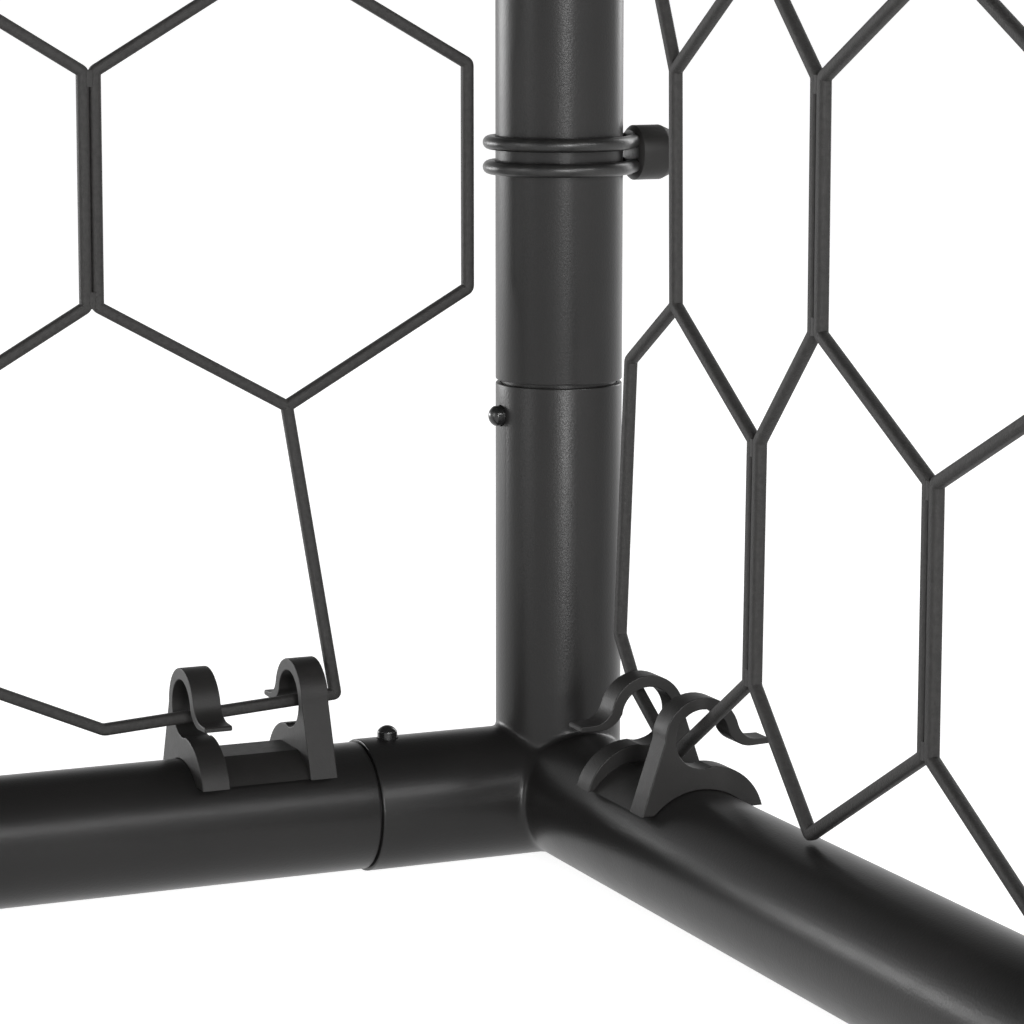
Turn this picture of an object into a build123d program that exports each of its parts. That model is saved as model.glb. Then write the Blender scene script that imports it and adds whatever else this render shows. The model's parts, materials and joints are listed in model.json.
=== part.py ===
"""Box-shaped goal: a knock-down steel tube frame with netting, clips and bungee loops.

Units are millimetres.  The origin lies on the floor under the middle of the goal,
+X runs along the goal line, +Y from the mouth to the rear and +Z up.
"""
from build123d import *
import math
import os

# Frame layout, measured between tube axes
HALF_WIDTH = 935.0
HALF_DEPTH = 360.0
BASE_Z = 20.8
TOP_Z = 1240.0

# Tubes
BAR_R = 20.0
STUB_R = 20.8
WALL = 1.5
FIT_GAP = 0.3
UP_STUB = 131.4
SIDE_STUB = 68.6
MALE_LENGTH = 44.0
NECK = 4.0
RING_GAP = 0.8
MITRE_OVERRUN = 1.3

# Snap buttons
BUTTON_R = 3.15
BUTTON_HOLE_R = 3.45
BUTTON_PROUD = 4.0
BUTTON_DOME = 1.9
FLANGE_R = 4.5
FLANGE_THICK = 1.2
UP_INSET = 10.4
SIDE_INSET = 9.6

# Leaf springs behind the buttons
SPRING_THICK = 0.8
SPRING_WIDTH = 8.0
SPRING_TAIL = 6.0
SPRING_BEND = 30.0
SPRING_TOE = (2.0, 3.0)

# Netting
STRAND = 3.8
DOUBLE_STRAND = 7.4
CELL_HALF = 60.25
CELL_SIDE = 69.5
CELL_RISE = 34.0
ROW = CELL_SIDE + CELL_RISE
LOW_ROW = 93.0
NET_INSET = 36.5
NET_SIDE_INSET = 30.0
SIDE_NET_PHASE = 170.0
SMALLEST_MESH = 60.0

# Net clips
CLIP_LENGTH = 44.0
CLIP_PLATE = 8.8
FOOT_V = 14.4
SADDLE_GAP = 0.1
WEB_THICK = 2.9
WEB_TOP = 1.6
WEB_SHOULDER = 35.0
HOOK_TOP = 50.0
HOOK_GAP = 0.4
CLIP_TO_REAR_CORNER = 105.0
CLIP_TO_SIDE_CORNER = 80.5
CLIP_PITCH = 363.0
SIDE_CLIP_PITCH = 265.0
TOP_SIDE_CLIP_PITCH = HALF_DEPTH - CLIP_TO_REAR_CORNER
CLIPS_IN_ROW = 3
TOP_NET_SHIFT = 60.0
TOP_NET_SIDE_CLIPS = (155.25, -51.75)

# Bungee loops
CORD_R = 2.25
LOOP_PITCH = 7.7
TOGGLE_FACE = 24.2
TOGGLE_R = 8.65
TOGGLE_LENGTH = 14.5
CORD_ENTRY = 4.0
TOGGLE_CHAMFER = (4.0, 1.8)
TOGGLE_INNER_CHAMFER = 1.2
BUNGEE_HEIGHTS = (202.5, 622.5, 1042.5)

SIDES = {"left": -1, "right": 1}
X_DIR = Vector(1, 0, 0)
Y_DIR = Vector(0, 1, 0)
Z_DIR = Vector(0, 0, 1)

nodes = {}
snaps = []
clip_places = []


def rod(start, end, radius):
    """Solid cylinder between two points."""
    axis = end - start
    return Solid.make_cylinder(radius, axis.length, Plane(origin=start, z_dir=axis))


def on_side(shape, origin, normal):
    """The part of a solid on the positive side of a plane."""
    return split(shape, bisect_by=Plane(origin=origin, z_dir=normal), keep=Keep.TOP)


def three_way(origin, across, along, up, reach, shrink):
    """Two horizontal limbs mitred at 45 degrees with an upright on top of them."""
    level_r = STUB_R - shrink
    overrun = level_r * MITRE_OVERRUN
    normal = (across - along).normalized()
    first = rod(origin - across * overrun, origin + across * SIDE_STUB, level_r)
    second = rod(origin - along * overrun, origin + along * reach, level_r)
    upright = rod(origin, origin + up * UP_STUB, BAR_R - shrink)
    return on_side(first, origin, normal) + on_side(second, origin, -normal) + upright


def corner(origin, across, along, up, reach=SIDE_STUB, neck=0):
    """Hollow welded corner with open sockets, or a thick neck at the end of a long limb."""
    shell = three_way(origin, across, along, up, reach, 0)
    return shell - three_way(origin, across, along, up, reach - neck, WALL)


def rounded_foot(origin, along, up):
    """Hollow two-way elbow with a ball-shaped outer corner."""
    shell = rod(origin, origin + along * SIDE_STUB, STUB_R)
    shell += rod(origin, origin + up * UP_STUB, BAR_R)
    shell += Pos(origin) * Sphere(STUB_R)
    bore = rod(origin, origin + along * SIDE_STUB, STUB_R - WALL)
    bore += rod(origin, origin + up * UP_STUB, BAR_R - WALL)
    bore += Pos(origin) * Sphere(STUB_R - WALL)
    return shell - bore


def male_end(start, direction, outer):
    """Reduced tube end that slides into a socket, as a solid and its bore."""
    tip = start + direction * MALE_LENGTH
    inner = outer - WALL
    return rod(start, tip, outer), rod(start - direction * NECK, tip, inner)


def bar(start, end, start_r=None, end_r=None):
    """Straight tube whose ends may be reduced to slide into sockets."""
    direction = (end - start).normalized()
    gap = direction * (RING_GAP / 2)
    first = start + gap
    last = end - gap
    solid = rod(first, last, BAR_R)
    bore_first = first
    bore_last = last
    bores = []
    if start_r:
        male, bore = male_end(first, -direction, start_r)
        solid += male
        bores.append(bore)
        bore_first = first + direction * NECK
    if end_r:
        male, bore = male_end(last, direction, end_r)
        solid += male
        bores.append(bore)
        bore_last = last - direction * NECK
    solid -= rod(bore_first, bore_last, BAR_R - WALL)
    for bore in bores:
        solid -= bore
    return solid


UP_MALE_R = BAR_R - WALL - FIT_GAP
SIDE_MALE_R = STUB_R - WALL - FIT_GAP


def snap(name, socket, insert, ring, inward, out, socket_r, inset):
    """Note a snap-button joint between a socket node and an inserted node."""
    snaps.append(
        {
            "name": name,
            "socket": socket,
            "insert": insert,
            "centre": ring + inward * inset,
            "inward": inward,
            "out": out,
            "socket_r": socket_r,
            "bore_r": socket_r - WALL - FIT_GAP - WALL,
        }
    )


def build_frame():
    for side, sign in SIDES.items():
        across = X_DIR * -sign
        x = HALF_WIDTH * sign
        base_rear = Vector(x, HALF_DEPTH, BASE_Z)
        base_front = Vector(x, -HALF_DEPTH, BASE_Z)
        top_rear = Vector(x, HALF_DEPTH, TOP_Z)
        top_front = Vector(x, -HALF_DEPTH, TOP_Z)

        side_ring = base_front + Y_DIR * SIDE_STUB
        side_end = side_ring + Y_DIR * (RING_GAP / 2)
        reach = (base_rear - side_end).length
        rear_corner = corner(base_rear, across, -Y_DIR, Z_DIR, reach, NECK)
        male, bore = male_end(side_end, -Y_DIR, SIDE_MALE_R)
        nodes[f"rear_corner_{side}"] = rear_corner + male - bore
        nodes[f"front_foot_{side}"] = rounded_foot(base_front, Y_DIR, Z_DIR)
        nodes[f"top_front_corner_{side}"] = corner(top_front, across, Y_DIR, -Z_DIR)
        nodes[f"top_rear_corner_{side}"] = corner(top_rear, across, -Y_DIR, -Z_DIR)

        low = Z_DIR * UP_STUB
        for name, base, top in (
            ("front_post", base_front, top_front),
            ("rear_upright", base_rear, top_rear),
        ):
            nodes[f"{name}_{side}"] = bar(base + low, top - low, UP_MALE_R, UP_MALE_R)
        level = Y_DIR * SIDE_STUB
        nodes[f"top_side_tube_{side}"] = bar(
            top_front + level, top_rear - level, SIDE_MALE_R, SIDE_MALE_R
        )
        middle_r = UP_MALE_R if side == "right" else None
        for name, end in (
            ("crossbar", top_front),
            ("rear_top_bar", top_rear),
            ("rear_base_bar", base_rear),
        ):
            centre = Vector(0, end.Y, end.Z)
            nodes[f"{name}_{side}"] = bar(
                end + across * SIDE_STUB, centre, SIDE_MALE_R, middle_r
            )

        for spot, socket, insert, point, inward in (
            ("foot_post", "front_foot", "front_post", base_front + low, -Z_DIR),
            ("rear_upright_low", "rear_corner", "rear_upright", base_rear + low, -Z_DIR),
            ("front_post_top", "top_front_corner", "front_post", top_front - low, Z_DIR),
            ("rear_upright_top", "top_rear_corner", "rear_upright", top_rear - low, Z_DIR),
        ):
            snap(f"{spot}_{side}", f"{socket}_{side}", f"{insert}_{side}", point, inward,
                 across, BAR_R, UP_INSET)
        for spot, socket, insert, point, inward, out in (
            ("foot_side", "front_foot", "rear_corner", base_front + level, -Y_DIR, Z_DIR),
            ("top_side_front", "top_front_corner", "top_side_tube", top_front + level,
             -Y_DIR, -Z_DIR),
            ("top_side_rear", "top_rear_corner", "top_side_tube", top_rear - level,
             Y_DIR, -Z_DIR),
            ("crossbar_end", "top_front_corner", "crossbar", top_front + across * SIDE_STUB,
             -across, -Z_DIR),
            ("rear_top_end", "top_rear_corner", "rear_top_bar", top_rear + across * SIDE_STUB,
             -across, -Z_DIR),
            ("rear_base_end", "rear_corner", "rear_base_bar", base_rear + across * SIDE_STUB,
             -across, Z_DIR),
        ):
            snap(f"{spot}_{side}", f"{socket}_{side}", f"{insert}_{side}", point, inward,
                 out, STUB_R, SIDE_INSET)

    for name, y, z, out in (
        ("crossbar", -HALF_DEPTH, TOP_Z, -Z_DIR),
        ("rear_top_bar", HALF_DEPTH, TOP_Z, -Z_DIR),
        ("rear_base_bar", HALF_DEPTH, BASE_Z, Z_DIR),
    ):
        snap(f"{name}_middle", f"{name}_left", f"{name}_right", Vector(0, y, z), -X_DIR,
             out, BAR_R, SIDE_INSET)


def button(joint):
    """Domed pin with a flange that stops against the inside of the inserted tube."""
    seat = math.sqrt(joint["bore_r"] ** 2 - FLANGE_R**2) - 0.1
    top = joint["socket_r"] + BUTTON_PROUD
    dome_r = (BUTTON_R**2 + BUTTON_DOME**2) / (2 * BUTTON_DOME)
    pin = rod(Z_DIR * (seat - FLANGE_THICK), Z_DIR * seat, FLANGE_R)
    pin += rod(Z_DIR * (seat - FLANGE_THICK), Z_DIR * (top - dome_r), BUTTON_R)
    head = rod(Z_DIR * (top - dome_r), Z_DIR * top, BUTTON_R)
    pin += head & (Pos(0, 0, top - dome_r) * Sphere(dome_r))
    return Plane(origin=joint["centre"], z_dir=joint["out"]).location * pin


def leaf_spring(joint):
    """V-shaped leaf inside the inserted tube, drawn as the pressed button leaves it."""
    low = -math.sqrt(joint["bore_r"] ** 2 - (SPRING_WIDTH / 2) ** 2) + 2 * SPRING_THICK
    high = math.sqrt(joint["bore_r"] ** 2 - FLANGE_R**2)
    high -= FLANGE_THICK + BUTTON_PROUD + 2 * SPRING_THICK
    leaf = Polyline(
        (-SPRING_TAIL, low),
        (SPRING_BEND, low),
        (SPRING_BEND + SPRING_TOE[0], low + SPRING_TOE[1]),
        (-SPRING_TAIL, high),
    )
    strip = extrude(
        Plane.XZ * trace(leaf, SPRING_THICK), amount=SPRING_WIDTH / 2, both=True
    )
    place = Plane(origin=joint["centre"], x_dir=joint["inward"], z_dir=joint["out"])
    return place.location * strip


def build_snap_buttons():
    springs = []
    for joint in snaps:
        centre = joint["centre"]
        hole = rod(centre, centre + joint["out"] * (STUB_R + WALL), BUTTON_HOLE_R)
        nodes[joint["socket"]] -= hole
        nodes[joint["insert"]] -= hole
        nodes[f"button_{joint['name']}"] = button(joint)
        springs.append(leaf_spring(joint))
    nodes["snap_springs"] = Compound(children=springs)


def clip_plate(tube_r):
    """Outline of a clip's end plate: a foot on the tube, a hump and an open hook."""
    grip = tube_r + SADDLE_GAP
    foot = math.sqrt(grip**2 - FOOT_V**2)
    edges = [
        Line((-foot, FOOT_V), (-19.3, FOOT_V)),
        Line((-19.3, FOOT_V), (-11.9, 36.2)),
        ThreePointArc((-11.9, 36.2), (0.4, 48.7), (12.3, 39.4)),
        ThreePointArc((12.3, 39.4), (14.6, 36.1), (18.6, 34.7)),
        Line((18.6, 34.7), (22.8, 34.6)),
        Line((22.8, 34.6), (22.9, 33.0)),
        Line((22.9, 33.0), (17.0, 32.8)),
        ThreePointArc((17.0, 32.8), (12.0, 34.1), (9.0, 37.4)),
        ThreePointArc((9.0, 37.4), (0.3, 45.1), (-8.3, 37.0)),
        ThreePointArc((-8.3, 37.0), (-6.6, 30.9), (-1.2, 27.5)),
        Line((-1.2, 27.5), (3.5, 27.7)),
        ThreePointArc((3.5, 27.7), (14.6, 23.6), (20.4, FOOT_V)),
        Line((20.4, FOOT_V), (foot, FOOT_V)),
        ThreePointArc((foot, FOOT_V), (0, grip), (-foot, FOOT_V)),
    ]
    return make_face(Wire(edges))


def clip_web(tube_r):
    """Section of the saddle strip that joins the two plates."""
    grip = tube_r + SADDLE_GAP
    outer = tube_r + WEB_THICK
    top = tube_r + WEB_TOP
    foot = math.sqrt(grip**2 - FOOT_V**2)
    toe = math.sqrt(outer**2 - FOOT_V**2)
    flat = math.sqrt(outer**2 - top**2)
    half = math.radians(WEB_SHOULDER)
    arc_mid = (outer * math.sin(half), outer * math.cos(half))
    edges = [
        Line((foot, FOOT_V), (toe, FOOT_V)),
        ThreePointArc((toe, FOOT_V), arc_mid, (flat, top)),
        Line((flat, top), (-flat, top)),
        ThreePointArc((-flat, top), (-arc_mid[0], arc_mid[1]), (-toe, FOOT_V)),
        Line((-toe, FOOT_V), (-foot, FOOT_V)),
        ThreePointArc((-foot, FOOT_V), (0, grip), (foot, FOOT_V)),
    ]
    return make_face(Wire(edges))


def net_clip(tube_r):
    """Clip along local X, standing on the tube towards local +Z, hooks facing opposite ways."""
    half = CLIP_LENGTH / 2
    plate = extrude(Plane.YZ.offset(half - CLIP_PLATE) * clip_plate(tube_r), CLIP_PLATE)
    web_length = CLIP_LENGTH - 2 * CLIP_PLATE
    web = extrude(Plane.YZ.offset(-web_length / 2) * clip_web(tube_r), web_length)
    other = Rot(0, 0, 180) * plate
    return plate + web + other


def clip_row(clip, origin, step, count, out):
    """Clips in a row along a tube."""
    along = step.normalized()
    row = []
    for index in range(count):
        place = Plane(origin=origin + step * index, x_dir=along, z_dir=out).location
        row.append(place * clip)
        clip_places.append(place)
    return row


def build_clips():
    bar_clip = net_clip(BAR_R)
    stub_clip = net_clip(STUB_R)
    first = HALF_WIDTH - CLIP_TO_REAR_CORNER
    step = X_DIR * CLIP_PITCH
    near_first = first - CLIP_PITCH * (CLIPS_IN_ROW - 1)
    for name, y, z, rows in (
        ("net_clips_rear_base", HALF_DEPTH, BASE_Z, ((Z_DIR, 0),)),
        ("net_clips_rear_top", HALF_DEPTH, TOP_Z, ((-Z_DIR, 0), (-Y_DIR, TOP_NET_SHIFT))),
        ("net_clips_crossbar", -HALF_DEPTH, TOP_Z, ((Y_DIR, TOP_NET_SHIFT),)),
    ):
        clips = []
        for out, shift in rows:
            for sign in (-1, 1):
                origin = Vector(sign * (near_first - shift), y, z)
                clips += clip_row(bar_clip, origin, step * sign, CLIPS_IN_ROW, out)
        nodes[name] = Compound(children=clips)
    for side, sign in SIDES.items():
        x = HALF_WIDTH * sign
        start = Vector(x, HALF_DEPTH - CLIP_TO_SIDE_CORNER, BASE_Z)
        step = Y_DIR * -SIDE_CLIP_PITCH
        row = clip_row(stub_clip, start, step, CLIPS_IN_ROW, Z_DIR)
        nodes[f"net_clips_base_{side}"] = Compound(children=row)
        start = Vector(x, HALF_DEPTH - CLIP_TO_REAR_CORNER, TOP_Z)
        step = Y_DIR * -TOP_SIDE_CLIP_PITCH
        row = clip_row(bar_clip, start, step, CLIPS_IN_ROW, -Z_DIR)
        for y in TOP_NET_SIDE_CLIPS:
            row += clip_row(bar_clip, Vector(x, y, TOP_Z), step, 1, X_DIR * -sign)
        nodes[f"net_clips_top_{side}"] = Compound(children=row)


def cut_back(points, axis, limit, sign):
    """Clip a polygon to one side of a line parallel to an axis."""
    kept = []
    for index, point in enumerate(points):
        before = points[index - 1]
        here = sign * (point[axis] - limit)
        there = sign * (before[axis] - limit)
        if here * there < 0:
            share = there / (there - here)
            kept.append(tuple(b + (p - b) * share for b, p in zip(before, point)))
        if here >= 0:
            kept.append(point)
    return kept


def area(points):
    total = 0
    for index, point in enumerate(points):
        before = points[index - 1]
        total += before[0] * point[1] - before[1] * point[0]
    return abs(total) / 2


def net_panel(width, height, phase_x, phase_y):
    """Flat knotless net with a border strand and elongated six-sided meshes."""
    slant = math.hypot(CELL_HALF, CELL_RISE)
    drop = STRAND / 2 * slant / CELL_HALF
    half_x = CELL_HALF - DOUBLE_STRAND / 2
    side_y = CELL_SIDE / 2 + CELL_RISE * DOUBLE_STRAND / 2 / CELL_HALF - drop
    tip_y = CELL_SIDE / 2 + CELL_RISE - drop
    in_x = width / 2 - STRAND
    in_y = height / 2 - STRAND
    holes = []
    reach = int(max(width, height) / CELL_HALF) + 2
    for row in range(-reach, reach):
        centre_y = phase_y + row * ROW
        offset = CELL_HALF * (1 + row % 2)
        for column in range(-reach, reach):
            centre_x = phase_x + offset + column * 2 * CELL_HALF
            outline = [
                (centre_x + half_x, centre_y - side_y),
                (centre_x + half_x, centre_y + side_y),
                (centre_x, centre_y + tip_y),
                (centre_x - half_x, centre_y + side_y),
                (centre_x - half_x, centre_y - side_y),
                (centre_x, centre_y - tip_y),
            ]
            for axis, limit in ((0, in_x), (1, in_y)):
                outline = cut_back(outline, axis, limit, -1)
                outline = cut_back(outline, axis, -limit, 1)
            if len(outline) > 2 and area(outline) > SMALLEST_MESH:
                holes.append(Wire.make_polygon(outline, close=True))
    frame = Wire.make_rect(width, height)
    return extrude(Plane.XY.offset(-STRAND / 2) * Face(frame, holes), STRAND)


def clear_hooks(net):
    """Cut the net's meshes back from the hooks, which hold only its border strand."""
    low = NET_INSET + STRAND / 2 + HOOK_GAP
    tall = HOOK_TOP - low
    block = Pos(0, 0, low + tall / 2) * Box(CLIP_LENGTH + 2 * HOOK_GAP, HOOK_TOP, tall)
    for place in clip_places:
        net -= place * block
    return net


def build_nets():
    width = 2 * (HALF_WIDTH - NET_SIDE_INSET)
    depth = 2 * (HALF_DEPTH - NET_SIDE_INSET)
    low = BASE_Z + NET_INSET
    high = TOP_Z - NET_INSET
    height = high - low
    middle_z = (low + high) / 2
    phase_y = BASE_Z + LOW_ROW - middle_z
    panel = net_panel(width, height, 0, phase_y)
    place = Plane(origin=(0, HALF_DEPTH, middle_z), x_dir=X_DIR, z_dir=-Y_DIR)
    nodes["net_back"] = place.location * panel
    panel = net_panel(depth, height, HALF_DEPTH - SIDE_NET_PHASE + CELL_HALF, phase_y)
    for side, sign in SIDES.items():
        place = Plane(origin=(HALF_WIDTH * sign, 0, middle_z), x_dir=Y_DIR, z_dir=X_DIR)
        nodes[f"net_{side}"] = place.location * panel
    width = 2 * (HALF_WIDTH - NET_INSET)
    depth = 2 * (HALF_DEPTH - NET_INSET)
    nodes["net_top"] = Pos(0, 0, TOP_Z) * net_panel(width, depth, 0, 0)
    for name in ("net_back", "net_left", "net_right", "net_top"):
        nodes[name] = clear_hooks(nodes[name])


def bungee_cord():
    """Cord round a post, running into the toggle on local +X."""
    ring_r = BAR_R + CORD_R + 0.2
    reach = math.hypot(TOGGLE_FACE, CORD_ENTRY)
    turn = math.atan2(CORD_ENTRY, TOGGLE_FACE) + math.acos(ring_r / reach)
    touch = (ring_r * math.cos(turn), ring_r * math.sin(turn))
    run = Vector(TOGGLE_FACE - touch[0], CORD_ENTRY - touch[1]).normalized() * CORD_R * 2
    inside = (TOGGLE_FACE + run.X, CORD_ENTRY + run.Y)
    lead = Line(inside, touch)
    wrap = ThreePointArc(touch, (-ring_r, 0), (touch[0], -touch[1]))
    tail = Line((touch[0], -touch[1]), (inside[0], -inside[1]))
    path = Wire([lead, wrap, tail])
    start = Plane(origin=path @ 0, z_dir=path % 0)
    cord = sweep(start * Circle(CORD_R), path=path)
    return on_side(cord, X_DIR * (TOGGLE_FACE - SADDLE_GAP), -X_DIR)


def toggle():
    """Chamfered barrel along local +X."""
    half = TOGGLE_LENGTH / 2
    barrel = extrude(Plane.YZ * Circle(TOGGLE_R), half, both=True)
    outer = barrel.edges().sort_by(Axis.X)[-1]
    barrel = chamfer(outer, *TOGGLE_CHAMFER)
    barrel = chamfer(barrel.edges().sort_by(Axis.X)[0], TOGGLE_INNER_CHAMFER)
    return Pos(TOGGLE_FACE + half, 0, 0) * barrel


def build_bungees():
    cord = bungee_cord()
    barrel = toggle()
    cords = []
    toggles = []
    for sign in SIDES.values():
        for y in (-HALF_DEPTH, HALF_DEPTH):
            for height in BUNGEE_HEIGHTS:
                middle = Vector(HALF_WIDTH * sign, y, BASE_Z + height)
                place = Plane(origin=middle, x_dir=X_DIR * sign, z_dir=Z_DIR).location
                toggles.append(place * barrel)
                for half_turn in (-1, 1):
                    lift = Pos(0, 0, half_turn * LOOP_PITCH / 2)
                    cords.append(place * lift * cord)
    nodes["bungee_cords"] = Compound(children=cords)
    nodes["bungee_toggles"] = Compound(children=toggles)


build_frame()
build_snap_buttons()
build_clips()
build_nets()
build_bungees()

os.makedirs("parts", exist_ok=True)
for node, shape in nodes.items():
    export_step(shape, f"parts/{node}.step")
print(len(nodes), "nodes")
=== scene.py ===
"""Looks of the box-shaped goal: smooth tubes, moulded clips, rope netting and bungees.

Everything is in metres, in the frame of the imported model: +X along the goal line, +Y to
the rear, +Z up, with the floor at zero.
"""
import json
import math

import bmesh
import bpy
import numpy as np
from mathutils import Matrix, Vector


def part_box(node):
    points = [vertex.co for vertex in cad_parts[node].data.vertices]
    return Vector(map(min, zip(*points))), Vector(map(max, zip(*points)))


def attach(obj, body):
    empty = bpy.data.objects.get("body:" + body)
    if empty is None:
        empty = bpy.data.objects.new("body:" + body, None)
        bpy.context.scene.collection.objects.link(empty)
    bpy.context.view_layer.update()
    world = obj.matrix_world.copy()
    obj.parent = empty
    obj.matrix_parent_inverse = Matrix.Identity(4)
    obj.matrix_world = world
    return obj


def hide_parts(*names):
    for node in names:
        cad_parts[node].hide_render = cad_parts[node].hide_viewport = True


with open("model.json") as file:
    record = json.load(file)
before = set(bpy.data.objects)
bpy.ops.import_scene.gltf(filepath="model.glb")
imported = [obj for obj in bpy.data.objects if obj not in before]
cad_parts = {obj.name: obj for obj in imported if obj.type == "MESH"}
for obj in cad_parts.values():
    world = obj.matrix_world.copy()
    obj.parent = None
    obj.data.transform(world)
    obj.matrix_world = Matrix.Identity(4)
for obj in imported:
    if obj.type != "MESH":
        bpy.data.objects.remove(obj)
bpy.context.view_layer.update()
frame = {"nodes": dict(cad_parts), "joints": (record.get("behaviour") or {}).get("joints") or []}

MM = 0.001
X = Vector((1, 0, 0))
Y = Vector((0, 1, 0))
Z = Vector((0, 0, 1))
SIDES = {"left": -1, "right": 1}


def middle(node):
    low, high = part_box(node)
    return (low + high) / 2


# Sizes and places read from the frame
upright_low, upright_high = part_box("rear_upright_right")
corner_low, corner_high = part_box("rear_corner_right")
BAR_R = (upright_high.x - upright_low.x) / 2
HALF_WIDTH = middle("rear_upright_right").x
REAR_Y = middle("rear_upright_right").y
FRONT_Y = middle("front_post_right").y
TOP_Z = middle("crossbar_right").z
BASE_Z = middle("rear_base_bar_right").z
STUB_R = BASE_Z - corner_low.z
UP_STUB = corner_high.z - BASE_Z
SIDE_STUB = HALF_WIDTH - corner_low.x

# Sizes of the tube details
TUBE_SLOT = "tube_coating"
WALL = 1.5 * MM
FIT_SLACK = 0.3 * MM
UP_GAP = 1.1 * MM
LEVEL_GAP = 0.5 * MM
MALE_LENGTH = 44 * MM
NECK = 4 * MM
UP_MALE_R = BAR_R - WALL - FIT_SLACK
SIDE_MALE_R = STUB_R - WALL - FIT_SLACK
RIM = 0.5 * MM

# Sides of the round meshes, the angles in degrees above which an edge is drawn sharp, and
# the most corners that a smooth face has
ROUND = 128
HOLE_ROUND = 40
SHARP = 35
TUBE_SHARP = 50
CORNER_SHARP = 75
LARGEST_SMOOTH_FACE = 4


# ---------------------------------------------------------------- snap buttons' places
PIN_R = 3.15 * MM
HOLE_R = PIN_R + 0.3 * MM
DRILL_PAST = 1 * MM


def button_name(joint):
    return joint["name"].removesuffix("_press")


def button_line(joint):
    """Node, outer end, inner end and inward direction of a joint's button."""
    node = "button_" + button_name(joint)
    low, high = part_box(node)
    inward = Vector(joint["axis"]).normalized()
    half = inward * abs((high - low).dot(inward)) / 2
    centre = (low + high) / 2
    return node, centre - half, centre + half, inward


def button_holes(node):
    """Holes that the buttons need in one tube, as (start, end)."""
    low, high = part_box(node)
    holes = []
    for joint in frame["joints"]:
        _, tip, back, inward = button_line(joint)
        centre = (tip + back) / 2
        if all(a < c < b for a, c, b in zip(low, centre, high)):
            past = inward * DRILL_PAST
            holes.append((back + past, tip - past))
    return holes


# ---------------------------------------------------------------- mesh helpers
def add_cylinder(bm, centre, along, length, radius, segments):
    turn = along.to_track_quat("Z", "Y").to_matrix().to_4x4()
    bmesh.ops.create_cone(
        bm, cap_ends=True, segments=segments, radius1=radius, radius2=radius,
        depth=length, matrix=Matrix.Translation(centre) @ turn,
    )


def modified(piece):
    """A new mesh of a piece with its modifiers applied."""
    graph = bpy.context.evaluated_depsgraph_get()
    return bpy.data.meshes.new_from_object(piece.evaluated_get(graph))


def drilled(mesh, holes):
    """The mesh with round button holes, each a (start, end)."""
    solid = bpy.data.objects.new("solid", mesh)
    bits = bpy.data.meshes.new("bits")
    bm = bmesh.new()
    for start, end in holes:
        along = end - start
        add_cylinder(bm, (start + end) / 2, along, along.length, HOLE_R, HOLE_ROUND)
    bm.to_mesh(bits)
    bm.clear()
    bm.from_mesh(mesh)
    bmesh.ops.recalc_face_normals(bm, faces=bm.faces)
    bm.to_mesh(mesh)
    bm.free()
    cutter = bpy.data.objects.new("cutter", bits)
    for scratch in (solid, cutter):
        bpy.context.collection.objects.link(scratch)
    cut = solid.modifiers.new("drill", "BOOLEAN")
    cut.operation = "DIFFERENCE"
    cut.solver = "EXACT"
    cut.object = cutter
    result = modified(solid)
    for scratch in (solid, cutter):
        bpy.data.objects.remove(scratch)
    return result


def new_object(name, node, points, faces, slot, finish, body="goal", sharp=SHARP):
    """A smooth-shaded mesh piece that rides on a body in the place of a node.

    A tube gets its button holes, and its wall stays smooth in the many-sided faces that
    the holes leave in it.
    """
    mesh = bpy.data.meshes.new(name)
    mesh.from_pydata([tuple(p) for p in points], [], faces)
    is_tube = slot == TUBE_SLOT
    holes = button_holes(node) if is_tube else []
    if holes:
        mesh = drilled(mesh, holes)
        mesh.name = name
    bm = bmesh.new()
    bm.from_mesh(mesh)
    bmesh.ops.recalc_face_normals(bm, faces=bm.faces)
    for face in bm.faces:
        face.smooth = is_tube or len(face.verts) <= LARGEST_SMOOTH_FACE
    limit = math.radians(sharp)
    for edge in bm.edges:
        if len(edge.link_faces) == 2 and edge.calc_face_angle() > limit:
            edge.smooth = False
    bm.to_mesh(mesh)
    bm.free()
    mesh.materials.append(finish)
    piece = bpy.data.objects.new(name, mesh)
    bpy.context.collection.objects.link(piece)
    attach(piece, body)
    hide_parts(node)


class Build:
    """Points and faces of one piece, gathered from several closed shells."""

    def __init__(self):
        self.points = []
        self.faces = []

    def add(self, points, faces):
        start = len(self.points)
        self.points.extend(points)
        self.faces.extend([tuple(start + i for i in face) for face in faces])


def is_upright(along):
    return abs(along.z) > 0.5


def frame_of(along):
    """Two unit vectors square to a direction."""
    side = along.cross(X if is_upright(along) else Z)
    side.normalize()
    return side, along.cross(side).normalized()


def ring_faces(count, rings):
    """Faces of a tube of equal rings of points, closed by a face at both ends."""
    faces = []
    for ring in range(rings - 1):
        a = ring * count
        b = a + count
        for i in range(count):
            j = (i + 1) % count
            faces.append((a + i, a + j, b + j, b + i))
    faces.append(tuple(range(count)))
    faces.append(tuple(range(count * (rings - 1), count * rings)))
    return faces


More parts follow.
